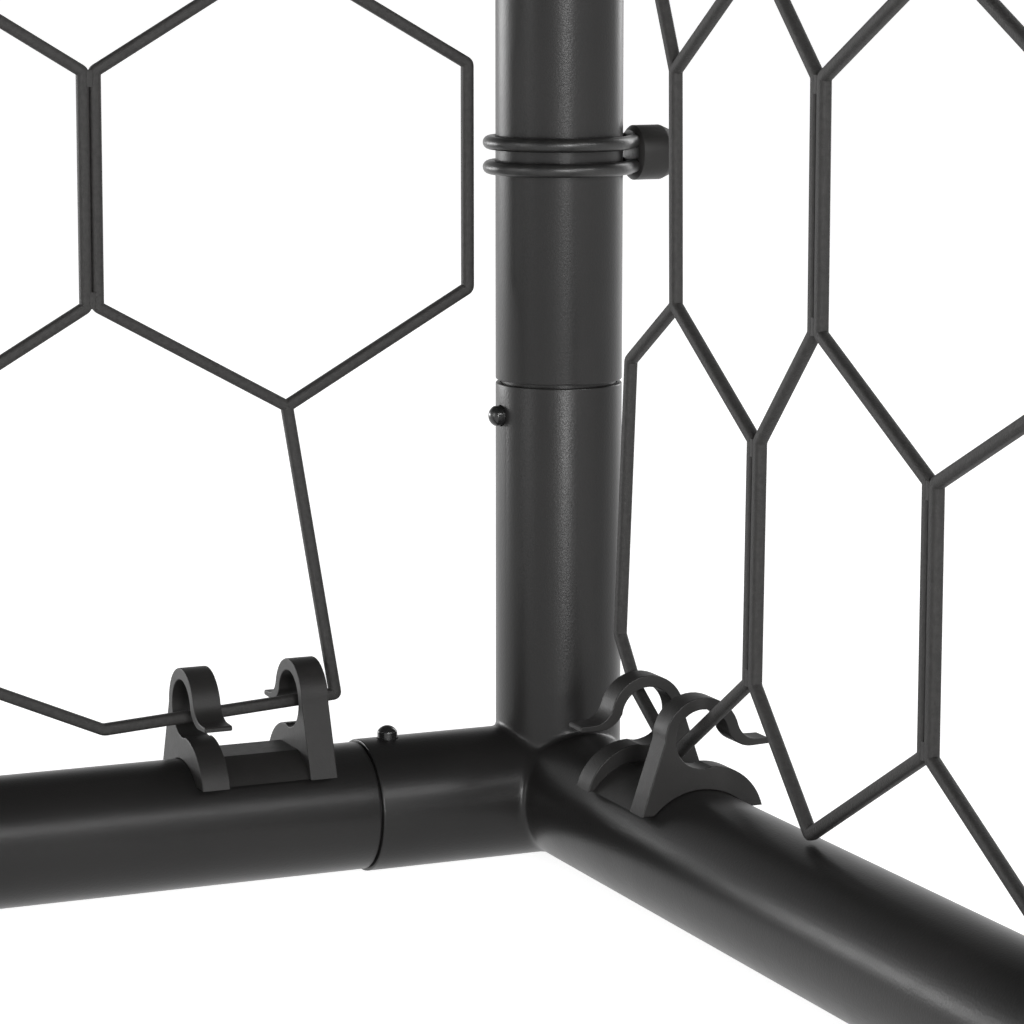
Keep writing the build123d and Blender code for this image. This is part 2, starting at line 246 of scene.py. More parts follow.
def lathe(profile, origin, along, segments=ROUND):
    """A closed profile of (distance, radius) turned about an axis."""
    u, v = frame_of(along)
    count = len(profile)
    points = []
    for step in range(segments):
        angle = 2 * math.pi * step / segments
        out = u * math.cos(angle) + v * math.sin(angle)
        points.extend(origin + along * s + out * r for s, r in profile)
    faces = []
    for step in range(segments):
        here = step * count
        there = (step + 1) % segments * count
        for i in range(count):
            j = (i + 1) % count
            if profile[i][1] == 0 and profile[j][1] == 0:
                continue
            if profile[i][1] == 0:
                faces.append((i, here + j, there + j))
            elif profile[j][1] == 0:
                faces.append((here + i, j, there + i))
            else:
                faces.append((here + i, here + j, there + j, there + i))
    used = sorted({i for face in faces for i in face})
    place = {old: new for new, old in enumerate(used)}
    points = [points[i] for i in used]
    faces = [tuple(place[i] for i in face) for face in faces]
    return points, faces


def rim(s, radius, outward):
    """Rounded outer edge of a tube end at distance s, from the wall to the end face."""
    steps = [(RIM, 0), (0.35 * RIM, 0.1 * RIM), (0.1 * RIM, 0.35 * RIM), (0, RIM)]
    return [(s - outward * back, radius - drop) for back, drop in steps]


# ---------------------------------------------------------------- materials
def material(name, color, roughness, specular=0.5, metallic=0.0):
    made = bpy.data.materials.new(name)
    made.use_nodes = True
    shader = made.node_tree.nodes["Principled BSDF"]
    shader.inputs["Base Color"].default_value = (*color, 1)
    shader.inputs["Roughness"].default_value = roughness
    shader.inputs["Specular IOR Level"].default_value = specular
    shader.inputs["Metallic"].default_value = metallic
    return made, made.node_tree, shader


def noise_node(tree, scale, detail=3.0, rough=0.5):
    coords = tree.nodes.new("ShaderNodeTexCoord")
    texture = tree.nodes.new("ShaderNodeTexNoise")
    texture.inputs["Scale"].default_value = scale
    texture.inputs["Detail"].default_value = detail
    texture.inputs["Roughness"].default_value = rough
    tree.links.new(coords.outputs["Object"], texture.inputs["Vector"])
    return texture.outputs["Fac"]


def ramp(tree, value, dark, light, low=0.35, high=0.65):
    node = tree.nodes.new("ShaderNodeValToRGB")
    node.color_ramp.elements[0].position = low
    node.color_ramp.elements[1].position = high
    node.color_ramp.elements[0].color = (*dark, 1)
    node.color_ramp.elements[1].color = (*light, 1)
    tree.links.new(value, node.inputs["Fac"])
    return node.outputs["Color"]


def bump(tree, shader, height, distance):
    node = tree.nodes.new("ShaderNodeBump")
    node.inputs["Distance"].default_value = distance
    tree.links.new(height, node.inputs["Height"])
    tree.links.new(node.outputs["Normal"], shader.inputs["Normal"])


def vary_roughness(tree, shader, value, low, high):
    node = tree.nodes.new("ShaderNodeMapRange")
    node.inputs["To Min"].default_value = low
    node.inputs["To Max"].default_value = high
    tree.links.new(value, node.inputs["Value"])
    tree.links.new(node.outputs["Result"], shader.inputs["Roughness"])


def powder_coat():
    """Satin black powder coat with a fine orange peel and slightly uneven gloss."""
    made, tree, shader = material("powder_coat", (0.009, 0.0088, 0.0088), 0.36, 0.25)
    cloud = noise_node(tree, 14, 4)
    tone = ramp(tree, cloud, (0.0075, 0.0073, 0.0072), (0.0105, 0.01, 0.0098))
    tree.links.new(tone, shader.inputs["Base Color"])
    vary_roughness(tree, shader, noise_node(tree, 55, 6, 0.7), 0.28, 0.4)
    bump(tree, shader, noise_node(tree, 1300, 2), 0.04 * MM)
    return made


def rope():
    """Matt charcoal rope with a fine grain."""
    made, tree, shader = material("rope", (0.02, 0.019, 0.0185), 0.6, 0.25)
    tone = ramp(tree, noise_node(tree, 700, 3), (0.015, 0.0143, 0.0139), (0.021, 0.0202, 0.0196))
    tree.links.new(tone, shader.inputs["Base Color"])
    bump(tree, shader, noise_node(tree, 1700, 3, 0.6), 0.2 * MM)
    return made


MOULDED_SHADE = 0.82
MOULDED_ROUGHNESS_SPREAD = 0.06


def moulded(name, light, roughness, grain):
    """Moulded plastic with a fine grain."""
    dark = tuple(c * MOULDED_SHADE for c in light)
    made, tree, shader = material(name, light, roughness, 0.25)
    tone = ramp(tree, noise_node(tree, 90, 4), dark, light)
    tree.links.new(tone, shader.inputs["Base Color"])
    smooth = roughness - MOULDED_ROUGHNESS_SPREAD
    rough = roughness + MOULDED_ROUGHNESS_SPREAD
    vary_roughness(tree, shader, noise_node(tree, 420, 3), smooth, rough)
    bump(tree, shader, noise_node(tree, grain, 2), 0.05 * MM)
    return made


def cord_sheath():
    """Smooth, slightly shiny bungee sheath with a fine grain."""
    made, tree, shader = material("cord_sheath", (0.01, 0.01, 0.01), 0.34, 0.4)
    tone = ramp(tree, noise_node(tree, 300, 3), (0.007, 0.007, 0.007), (0.012, 0.0115, 0.011))
    tree.links.new(tone, shader.inputs["Base Color"])
    bump(tree, shader, noise_node(tree, 2200, 2), 0.06 * MM)
    return made


def gloss_plastic():
    """Glossy black plastic of the snap buttons."""
    made, tree, shader = material("gloss_plastic", (0.008, 0.008, 0.008), 0.22, 0.5)
    vary_roughness(tree, shader, noise_node(tree, 300, 3), 0.18, 0.27)
    bump(tree, shader, noise_node(tree, 900, 2), 0.02 * MM)
    return made


def spring_steel():
    """Bare steel of the leaf springs behind the buttons."""
    made, tree, shader = material("spring_steel", (0.5, 0.5, 0.51), 0.35, metallic=1.0)
    vary_roughness(tree, shader, noise_node(tree, 500, 3), 0.28, 0.42)
    return made


COAT = powder_coat()
ROPE = rope()
CLIP = moulded("clip_plastic", (0.012, 0.0114, 0.011), 0.5, 1500)
TOGGLE = moulded("toggle_plastic", (0.012, 0.0115, 0.011), 0.46, 1200)
SHEATH = cord_sheath()
GLOSS = gloss_plastic()
STEEL = spring_steel()


# ---------------------------------------------------------------- straight tubes
def bar(node, start, end, start_r, end_r):
    """A straight tube; an end with a radius is reduced to slide into its socket."""
    along = (end - start).normalized()
    length = (end - start).length
    gap = (UP_GAP if is_upright(along) else LEVEL_GAP) / 2
    inner = BAR_R - WALL
    outer = [(gap - MALE_LENGTH, start_r), (gap, start_r)]
    bore = [(gap - MALE_LENGTH, start_r - WALL), (gap + NECK, start_r - WALL), (gap + NECK, inner)]
    far = length - gap
    outer += reversed(rim(gap, BAR_R, -1))
    outer += rim(far, BAR_R, 1)
    if end_r:
        tip = far + MALE_LENGTH
        outer += [(far, end_r), (tip, end_r)]
        bore += [(far - NECK, inner), (far - NECK, end_r - WALL), (tip, end_r - WALL)]
    else:
        bore.append((far, inner))
    points, faces = lathe(outer + bore[::-1], start, along)
    new_object(f"{node}_tube", node, points, faces, TUBE_SLOT, COAT, sharp=TUBE_SHARP)


def build_bars():
    up = Z * UP_STUB
    for side, sign in SIDES.items():
        across = X * -sign
        x = HALF_WIDTH * sign
        for name, y in (("front_post", FRONT_Y), ("rear_upright", REAR_Y)):
            base = Vector((x, y, BASE_Z))
            top = Vector((x, y, TOP_Z))
            bar(f"{name}_{side}", base + up, top - up, UP_MALE_R, UP_MALE_R)
        front = Vector((x, FRONT_Y, TOP_Z)) + Y * SIDE_STUB
        rear = Vector((x, REAR_Y, TOP_Z)) - Y * SIDE_STUB
        bar(f"top_side_tube_{side}", front, rear, SIDE_MALE_R, SIDE_MALE_R)
        centre_r = UP_MALE_R if side == "right" else None
        for name, y, z in (
            ("crossbar", FRONT_Y, TOP_Z),
            ("rear_top_bar", REAR_Y, TOP_Z),
            ("rear_base_bar", REAR_Y, BASE_Z),
        ):
            end = Vector((x, y, z)) + across * SIDE_STUB
            bar(f"{name}_{side}", end, Vector((0, y, z)), SIDE_MALE_R, centre_r)


# ---------------------------------------------------------------- welded corners
CORE = 40 * MM
VOXEL = 1.1 * MM
WELD_LEVEL = 2.2 * MM
WELD_UP = 1.5 * MM
MITRE_ROUND = 4 * MM
MITRE_FADE = 12 * MM
SOCKET_SHOWN = 62 * MM
CUT = CORE * 0.9
CUT_SLACK = 0.01 * MM
CORE_LIMB_LENGTH = CORE * 1.3
CORE_LIMB_MIDDLE = CORE * 0.62
CORE_ROUND = 96
CORE_BALL = (64, 48)
SETTLING_ROUNDS = 12
SLOPE_STEP = 0.05 * MM
LEAST_SLOPE = 0.2


def soft_min(a, b, width):
    """The smaller of two fields, blended over a width where they meet."""
    width = np.maximum(width, 1e-6)
    share = np.clip(0.5 + 0.5 * (b - a) / width, 0, 1)
    return b * (1 - share) + a * share - width * share * (1 - share)


def mitred_field(p):
    """Distance field of two level limbs along -X and -Y, mitred, and an upright along +Z."""
    limb_x = np.hypot(p[:, 1], p[:, 2]) - STUB_R
    limb_y = np.hypot(p[:, 0], p[:, 2]) - STUB_R
    inside = np.clip(np.minimum(-p[:, 0], -p[:, 1]) / MITRE_FADE, 0, 1)
    outside = np.clip(np.minimum(p[:, 0], p[:, 1]) / MITRE_FADE, 0, 1)
    valley = soft_min(limb_x, limb_y, WELD_LEVEL * inside)
    ridge = -soft_min(-limb_x, -limb_y, MITRE_ROUND * outside)
    on_x = p[:, 0] < 0
    on_y = p[:, 1] < 0
    level = np.where(
        on_x & on_y, valley, np.where(~on_x & ~on_y, ridge, np.where(on_x, limb_x, limb_y))
    )
    upright = np.maximum(np.hypot(p[:, 0], p[:, 1]) - BAR_R, -p[:, 2])
    return soft_min(level, upright, WELD_UP)


def ball_field(p):
    """Distance field of a level limb along -Y and an upright along +Z, with a ball corner."""
    limb = np.hypot(np.hypot(p[:, 0], p[:, 2]), np.maximum(p[:, 1], 0)) - STUB_R
    upright = np.hypot(np.hypot(p[:, 0], p[:, 1]), np.minimum(p[:, 2], 0)) - BAR_R
    return soft_min(limb, upright, WELD_UP)


def weld_core(field, limbs):
    """Points and faces of a corner's middle, open where its limbs go on."""
    bm = bmesh.new()
    for along, radius in limbs:
        add_cylinder(bm, along * CORE_LIMB_MIDDLE, along, CORE_LIMB_LENGTH, radius, CORE_ROUND)
    bmesh.ops.create_uvsphere(bm, u_segments=CORE_BALL[0], v_segments=CORE_BALL[1], radius=STUB_R)
    mesh = bpy.data.meshes.new("core")
    bm.to_mesh(mesh)
    bm.free()
    scratch = bpy.data.objects.new("core", mesh)
    bpy.context.collection.objects.link(scratch)
    remesh = scratch.modifiers.new("remesh", "REMESH")
    remesh.mode = "VOXEL"
    remesh.voxel_size = VOXEL
    fine = modified(scratch)
    bpy.data.objects.remove(scratch)
    points = np.array([v.co for v in fine.vertices])
    for _ in range(SETTLING_ROUNDS):
        value = field(points)
        slopes = []
        for axis in np.eye(3) * SLOPE_STEP:
            slopes.append((field(points + axis) - field(points - axis)) / (2 * SLOPE_STEP))
        slope = np.stack(slopes, axis=1)
        size = np.maximum((slope**2).sum(1), LEAST_SLOPE)
        move = slope * (value / size)[:, None]
        points = points - np.clip(move, -VOXEL, VOXEL)
    for vertex, point in zip(fine.vertices, points):
        vertex.co = point
    return fine


def set_ring(verts, along, distance, radius):
    """Bring a ring of vertices to a distance and radius on a limb."""
    for v in verts:
        out = v.co - along * v.co.dot(along)
        v.co = along * distance + out.normalized() * radius


def corner_mesh(field, limbs):
    """A welded corner with its limbs drawn out, each a direction, a radius and a profile."""
    fine = weld_core(field, [(along, radius) for along, radius, _ in limbs])
    bm = bmesh.new()
    bm.from_mesh(fine)
    for along, _, _ in limbs:
        bmesh.ops.bisect_plane(
            bm, geom=bm.verts[:] + bm.edges[:] + bm.faces[:], dist=1e-7,
            plane_co=along * CUT, plane_no=along, clear_outer=True,
        )
    for along, radius, profile in limbs:
        ends = [
            e for e in bm.edges
            if len(e.link_faces) == 1
            and all(abs(v.co.dot(along) - CUT) < CUT_SLACK for v in e.verts)
        ]
        set_ring({v for e in ends for v in e.verts}, along, CUT, radius)
        for distance, new_radius in profile:
            grown = bmesh.ops.extrude_edge_only(bm, edges=ends)
            ends = [g for g in grown["geom"] if isinstance(g, bmesh.types.BMEdge)]
            set_ring({v for e in ends for v in e.verts}, along, distance, new_radius)
        bmesh.ops.holes_fill(bm, edges=ends)
    bmesh.ops.recalc_face_normals(bm, faces=bm.faces)
    points = [v.co.copy() for v in bm.verts]
    bm.verts.index_update()
    faces = [tuple(v.index for v in f.verts) for f in bm.faces]
    bm.free()
    return points, faces


def socket(reach, radius, gap):
    """Open stub end: wall, rounded rim, end face and the bore as far as it can be seen."""
    inner = radius - WALL
    end = reach - gap / 2
    return rim(end, radius, 1) + [(end, inner), (max(reach - SOCKET_SHOWN, CORE), inner)]


def plug(reach):
    """Long limb that ends in a reduced tube."""
    end = reach - LEVEL_GAP / 2
    male = SIDE_MALE_R
    tip = end + MALE_LENGTH
    profile = rim(end, STUB_R, 1)
    return profile + [(end, male), (tip, male), (tip, male - WALL), (end, male - WALL)]


def build_corners():
    level_x = (-X, STUB_R, socket(SIDE_STUB, STUB_R, LEVEL_GAP))
    level_y = (-Y, STUB_R, socket(SIDE_STUB, STUB_R, LEVEL_GAP))
    upright = (Z, BAR_R, socket(UP_STUB, BAR_R, UP_GAP))
    long_reach = REAR_Y - FRONT_Y - SIDE_STUB
    long_y = (-Y, STUB_R, plug(long_reach))
    shapes = {
        "rear_corner": corner_mesh(mitred_field, [level_x, long_y, upright]),
        "top_corner": corner_mesh(mitred_field, [level_x, level_y, upright]),
        "front_foot": corner_mesh(ball_field, [level_y, upright]),
    }
    for side, sign in SIDES.items():
        for node, shape, y, z in (
            ("rear_corner", "rear_corner", REAR_Y, BASE_Z),
            ("front_foot", "front_foot", FRONT_Y, BASE_Z),
            ("top_front_corner", "top_corner", FRONT_Y, TOP_Z),
            ("top_rear_corner", "top_corner", REAR_Y, TOP_Z),
        ):
            flip = Vector((sign, 1 if y > 0 else -1, 1 if z < TOP_Z else -1))
            origin = Vector((HALF_WIDTH * sign, y, z))
            points, faces = shapes[shape]
            moved = [origin + Vector(a * b for a, b in zip(p, flip)) for p in points]
            new_object(f"{node}_{side}_weldment", f"{node}_{side}", moved, faces,
                       TUBE_SLOT, COAT, sharp=CORNER_SHARP)


# ---------------------------------------------------------------- snap buttons
DOME = 1.9 * MM
DOME_EDGE = 0.15 * MM
FLANGE = 1.2 * MM
DOME_STEPS = 12
BUTTON_ROUND = 48


def build_buttons():
    dome_r = (PIN_R**2 + DOME**2) / (2 * DOME)
    widest = math.asin(PIN_R / dome_r)
    dome = [(0, 0)]
    for step in range(1, DOME_STEPS + 1):
        angle = widest * step / DOME_STEPS
        dome.append((dome_r - dome_r * math.cos(angle), dome_r * math.sin(angle)))
    dome.append((DOME + DOME_EDGE, PIN_R))
    for joint in frame["joints"]:
        node, tip, back, inward = button_line(joint)
        low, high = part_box(node)
        flange_r = max(abs((high - low).dot(axis)) for axis in frame_of(inward)) / 2
        reach = (back - tip).length
        flange = reach - FLANGE
        profile = dome + [(flange, PIN_R), (flange, flange_r), (reach, flange_r), (reach, 0)]
        points, faces = lathe(profile, tip, inward, BUTTON_ROUND)
        name = button_name(joint)
        new_object(f"{name}_snap", node, points, faces, "snap_button", GLOSS,
                   body=f"{name}_button")


# ---------------------------------------------------------------- net clips
CLIP_LENGTH = 44 * MM
CLIP_PLATE = 8.8 * MM
CLIP_EDGE = 0.3 * MM
FOOT_V = 14.4 * MM
SADDLE_GAP = 0.1 * MM
WEB_THICK = 2.9 * MM
WEB_TOP = 1.6 * MM
WEB_SHOULDER = math.radians(35)
WEB_STEPS = 8
GRIP_STEPS = 20
CLIP_SHARP = 16
LEAST_SPREAD = 0.5


def arc(a, b, c, steps):
    """Points from a to c on the circle through a, b and c, without the last one."""
    ax, ay = a
    bx, by = b
    cx, cy = c
    d = 2 * (ax * (by - cy) + bx * (cy - ay) + cx * (ay - by))
    ox = ((ax**2 + ay**2) * (by - cy) + (bx**2 + by**2) * (cy - ay)
          + (cx**2 + cy**2) * (ay - by)) / d
    oy = ((ax**2 + ay**2) * (cx - bx) + (bx**2 + by**2) * (ax - cx)
          + (cx**2 + cy**2) * (bx - ax)) / d
    radius = math.hypot(ax - ox, ay - oy)
    first = math.atan2(ay - oy, ax - ox)
    via = (math.atan2(by - oy, bx - ox) - first) % (2 * math.pi)
    last = (math.atan2(cy - oy, cx - ox) - first) % (2 * math.pi)
    sweep = last if via < last else last - 2 * math.pi
    return [
        (ox + radius * math.cos(first + sweep * i / steps),
         oy + radius * math.sin(first + sweep * i / steps))
        for i in range(steps)
    ]


def plate_outline(tube_r):
    """End plate of a clip: a foot on the tube, a hump and an open hook, in millimetres."""
    grip = (tube_r + SADDLE_GAP) / MM
    foot_v = FOOT_V / MM
    foot = math.sqrt(grip**2 - foot_v**2)
    points = [(-foot, foot_v), (-19.3, foot_v)]
    points += arc((-11.9, 36.2), (0.4, 48.7), (12.3, 39.4), 22)
    points += arc((12.3, 39.4), (14.6, 36.1), (18.6, 34.7), 7)
    points += [(18.6, 34.7), (22.5, 34.6), (22.9, 34.2), (22.95, 33.4), (22.5, 33.0)]
    points += arc((17.0, 32.8), (12.0, 34.1), (9.0, 37.4), 8)
    points += arc((9.0, 37.4), (0.3, 45.1), (-8.3, 37.0), 18)
    points += arc((-8.3, 37.0), (-6.6, 30.9), (-1.2, 27.5), 9)
    points += arc((-1.2, 27.5), (1.1, 27.2), (3.5, 27.7), 4)
    points += arc((3.5, 27.7), (14.6, 23.6), (20.4, foot_v), 14)
    points += [(20.4, foot_v)]
    points += arc((foot, foot_v), (0, grip), (-foot, foot_v), GRIP_STEPS)
    return [(u * MM, v * MM) for u, v in points]


def web_outline(tube_r):
    """Section of the saddle strip between the plates."""
    grip = tube_r + SADDLE_GAP
    outer = tube_r + WEB_THICK
    top = tube_r + WEB_TOP
    foot = math.sqrt(grip**2 - FOOT_V**2)
    toe = math.sqrt(outer**2 - FOOT_V**2)
    flat = math.sqrt(outer**2 - top**2)
    shoulder_u = outer * math.sin(WEB_SHOULDER)
    shoulder_v = outer * math.cos(WEB_SHOULDER)
    points = arc((toe, FOOT_V), (shoulder_u, shoulder_v), (flat, top), WEB_STEPS)
    points.append((flat, top))
    points += arc((-flat, top), (-shoulder_u, shoulder_v), (-toe, FOOT_V), WEB_STEPS)
    points.append((-toe, FOOT_V))
    points += arc((-foot, FOOT_V), (0, grip), (foot, FOOT_V), GRIP_STEPS)
    points.append((foot, FOOT_V))
    return points


def inset(outline, amount):
    """An outline moved inwards by an amount."""
    area = sum(
        a[0] * b[1] - b[0] * a[1] for a, b in zip(outline, outline[1:] + outline[:1])
    )
    turn = 1 if area > 0 else -1
    moved = []
    for index, point in enumerate(outline):
        before = Vector(outline[index - 1])
        after = Vector(outline[(index + 1) % len(outline)])
        here = Vector(point)
        into = (here - before).normalized()
        out_of = (after - here).normalized()
        normal = Vector((-into.y - out_of.y, into.x + out_of.x)) * turn
        normal.normalize()
        spread = max(normal.dot(Vector((-into.y, into.x)) * turn), LEAST_SPREAD)
        moved.append(tuple(here + normal * amount / spread))
    return moved


def prism(outline, low, high, edge, flip=False):
    """An outline in (u, v) drawn along s from low to high, with rounded edges."""
    steps = [(0, edge), (0.3 * edge, 0.3 * edge), (edge, 0), (2 * edge, 0)]
    rings = [(low + s, drop) for s, drop in steps]
    rings += [(high - s, drop) for s, drop in reversed(steps)]
    side = -1 if flip else 1
    points = []
    for s, drop in rings:
        ring = inset(outline, drop) if drop else outline
        points += [Vector((s, side * u, v)) for u, v in ring]
    return points, ring_faces(len(outline), len(rings))


def clip_shape(tube_r):
    """One clip along local X, its hooks opening to opposite sides."""
    half = CLIP_LENGTH / 2
    outline = plate_outline(tube_r)
    shape = Build()
    shape.add(*prism(outline, half - CLIP_PLATE, half, CLIP_EDGE))
    shape.add(*prism(outline, -half, -half + CLIP_PLATE, CLIP_EDGE, flip=True))
    reach = half - CLIP_PLATE + CLIP_EDGE
    shape.add(*prism(web_outline(tube_r), -reach, reach, CLIP_EDGE * 0.5))
    return shape


# Where the clips stand, as in the frame: distances from the corners and between clips
CLIP_TO_REAR_CORNER = 105 * MM
CLIP_TO_SIDE_CORNER = 80.5 * MM
CLIP_PITCH = 363 * MM
CLIPS_IN_ROW = 3
NEAREST_CLIP = HALF_WIDTH - CLIP_TO_REAR_CORNER - (CLIPS_IN_ROW - 1) * CLIP_PITCH
SIDE_CLIP_PITCH = 265 * MM
TOP_SIDE_CLIP_PITCH = (REAR_Y - FRONT_Y) / 2 - CLIP_TO_REAR_CORNER
TOP_NET_SHIFT = 60 * MM
TOP_NET_SIDE_CLIPS = (155.25 * MM, -51.75 * MM)


def clip_row(origin, step, out, count=CLIPS_IN_ROW):
    """Origins and turns of a row of clips; out is where they stand off the tube."""
    along = step.normalized()
    side = out.cross(along)
    turn = Matrix((along, side, out)).transposed()
    return [(origin + step * index, turn) for index in range(count)]


def build_clips():
    bar_clip = clip_shape(BAR_R)
    stub_clip = clip_shape(STUB_R)
    groups = {}
    for node, y, z, rows in (
        ("net_clips_rear_base", REAR_Y, BASE_Z, ((Z, 0),)),
        ("net_clips_rear_top", REAR_Y, TOP_Z, ((-Z, 0), (-Y, TOP_NET_SHIFT))),
        ("net_clips_crossbar", FRONT_Y, TOP_Z, ((Y, TOP_NET_SHIFT),)),
    ):
        places = []
        for out, shift in rows:
            for sign in (-1, 1):
                origin = Vector((sign * (NEAREST_CLIP - shift), y, z))
                places += clip_row(origin, X * CLIP_PITCH * sign, out)
        groups[node] = (bar_clip, places)
    step = Y * -SIDE_CLIP_PITCH
    top_step = Y * -TOP_SIDE_CLIP_PITCH
    for side, sign in SIDES.items():
        x = HALF_WIDTH * sign
        start = Vector((x, REAR_Y - CLIP_TO_SIDE_CORNER, BASE_Z))
        groups[f"net_clips_base_{side}"] = (stub_clip, clip_row(start, step, Z))
        start = Vector((x, REAR_Y - CLIP_TO_REAR_CORNER, TOP_Z))
        places = clip_row(start, top_step, -Z)
        for y in TOP_NET_SIDE_CLIPS:
            places += clip_row(Vector((x, y, TOP_Z)), top_step, X * -sign, 1)
        groups[f"net_clips_top_{side}"] = (bar_clip, places)
    for node, (shape, places) in groups.items():
        whole = Build()
        for origin, turn in places:
            whole.add([origin + turn @ p for p in shape.points], shape.faces)
        new_object(f"{node}_moulded", node, whole.points, whole.faces, "clip_plastic", CLIP,
                   sharp=CLIP_SHARP)


# ---------------------------------------------------------------- bungee loops
CORD_R = 2.15 * MM
LOOP_PITCH = 7.7 * MM
TOGGLE_FACE = 24.2 * MM
TOGGLE_R = 8.65 * MM
TOGGLE_LENGTH = 14.5 * MM
TOGGLE_ROUND = 64
TOGGLE_SHARP = 30
CORD_ENTRY = 4 * MM
CORD_PRESS = 0.3 * MM
CORD_ROUND = 24
LEAD_STEPS = 8
TURN_STEPS = 72
BUNGEE_HEIGHTS = (202.5 * MM, 622.5 * MM, 1042.5 * MM)


def swept(path, section, normal):
    """A section of (out, up) points carried along a path square to a normal."""
    points = []
    for index, here in enumerate(path):
        before = path[max(index - 1, 0)]
        after = path[min(index + 1, len(path) - 1)]
        along = (after - before).normalized()
        out = along.cross(normal).normalized()
        up = out.cross(along)
        points += [here + out * a + up * b for a, b in section]
    return points, ring_faces(len(section), len(path))


def cord_section():
    angles = [2 * math.pi * i / CORD_ROUND for i in range(CORD_ROUND)]
    return [(CORD_R * math.cos(angle), CORD_R * math.sin(angle)) for angle in angles]


def bungee_path():
    """Once round the post from the toggle's face and back, in the toggle's local frame."""
    ring_r = BAR_R + CORD_R - CORD_PRESS
    reach = math.hypot(TOGGLE_FACE, CORD_ENTRY)
    touch = math.atan2(CORD_ENTRY, TOGGLE_FACE) + math.acos(ring_r / reach)
    start = Vector((TOGGLE_FACE, CORD_ENTRY, 0))
    first = Vector((ring_r * math.cos(touch), ring_r * math.sin(touch), 0))
    path = [start.lerp(first, i / LEAD_STEPS) for i in range(LEAD_STEPS)]
    turn = 2 * math.pi - 2 * touch
    for i in range(TURN_STEPS + 1):
        angle = touch + turn * i / TURN_STEPS
        path.append(Vector((ring_r * math.cos(angle), ring_r * math.sin(angle), 0)))
    last = Vector((start.x, -start.y, 0))
    end = path[-1]
    path += [end.lerp(last, i / LEAD_STEPS) for i in range(1, LEAD_STEPS + 1)]
    return path


def toggle_profile():
    """Barrel's profile from the face that the cord enters, as (distance, radius)."""
    near = [(0.05, 1.5), (0.25, 1.2), (1.2, 0.25), (1.5, 0)]
    far = [(4.3, 0), (3.9, 0.12), (0.4, 1.65), (0.1, 2.0), (0, 2.6)]
    profile = [(0, 0), (0, 2.2 * MM)]
    profile += [(s * MM, TOGGLE_R - drop * MM) for s, drop in near]
    profile += [(TOGGLE_LENGTH - s * MM, TOGGLE_R - drop * MM) for s, drop in far]
    return profile + [(TOGGLE_LENGTH, 0)]


def build_bungees():
    path = bungee_path()
    section = cord_section()
    profile = toggle_profile()
    cords = Build()
    toggles = Build()
    for sign in SIDES.values():
        for y in (FRONT_Y, REAR_Y):
            for height in BUNGEE_HEIGHTS:
                origin = Vector((HALF_WIDTH * sign, y, BASE_Z + height))
                face = origin + X * sign * TOGGLE_FACE
                toggles.add(*lathe(profile, face, X * sign, TOGGLE_ROUND))
                for level in (-1, 1):
                    lift = Z * level * LOOP_PITCH / 2
                    placed = [origin + lift + Vector((p.x * sign, p.y, p.z)) for p in path]
                    cords.add(*swept(placed, section, Z))
    new_object("bungee_cord_loops", "bungee_cords", cords.points, cords.faces,
               "bungee_cord", SHEATH)
    new_object("bungee_barrels", "bungee_toggles", toggles.points, toggles.faces,
               "toggle_plastic", TOGGLE, sharp=TOGGLE_SHARP)


# ---------------------------------------------------------------- netting
STRAND = 3.75 * MM
PAIR = 3.65 * MM
CELL_HALF = 60.25 * MM
CELL_SIDE = 69.5 * MM
CELL_RISE = 34 * MM
ROW = CELL_SIDE + CELL_RISE
BEND = 0.9 * MM
BEND_STEPS = 5
BEND_SHARE = 0.45
JOIN_OUT = 1.5 * MM
JOIN_IN = 3.5 * MM
SECTION_ROUND = 16
SECTION_FILL = 0.96
ROPE_SHARP = 60
TALL_ROWS = 11
LOW_ROW = 93 * MM
TOP_ROWS = 6

# How a net runs into a clip: distances from the clip's middle, and from the tube's axis
PULLED = 28.6 * MM
GUIDE = 25.2 * MM
HOOK_LEVEL = 36.5 * MM
GUIDE_LEVEL = 33.1 * MM
ARCH = 23 * MM
ARCH_LEVEL = 43.2 * MM
SAG_LEVEL = 27.2 * MM
SAG_SHIFT = 3.4 * MM
NEAR_ARCH = PULLED + 13 * MM
FREE_OF_CLIP = GUIDE + 5 * MM
PULLED_REACH = PULLED + 1 * MM


def strand_section():
    """Rope section, a square with well rounded corners."""
    half = STRAND / 2
    points = []
    for i in range(SECTION_ROUND):
        angle = 2 * math.pi * (i + 0.5) / SECTION_ROUND
        c = math.cos(angle)
        s = math.sin(angle)
        squared = (abs(c) ** 4 + abs(s) ** 4) ** -0.25
        points.append((half * c * squared * SECTION_FILL, half * s * squared * SECTION_FILL))
    return points


def rounded(points):
    """A polyline with its corners rounded."""
    path = [points[0]]
    for before, here, after in zip(points, points[1:], points[2:]):
        back = min(BEND, (here - before).length * BEND_SHARE)
        ahead = min(BEND, (after - here).length * BEND_SHARE)
        a = here + (before - here).normalized() * back
        b = here + (after - here).normalized() * ahead
        for i in range(BEND_STEPS + 1):
            t = i / BEND_STEPS
            path.append(a * (1 - t) ** 2 + here * 2 * t * (1 - t) + b * t**2)
    path.append(points[-1])
    return path


def halfway(a, b):
    return tuple((p + q) / 2 for p, q in zip(a, b))


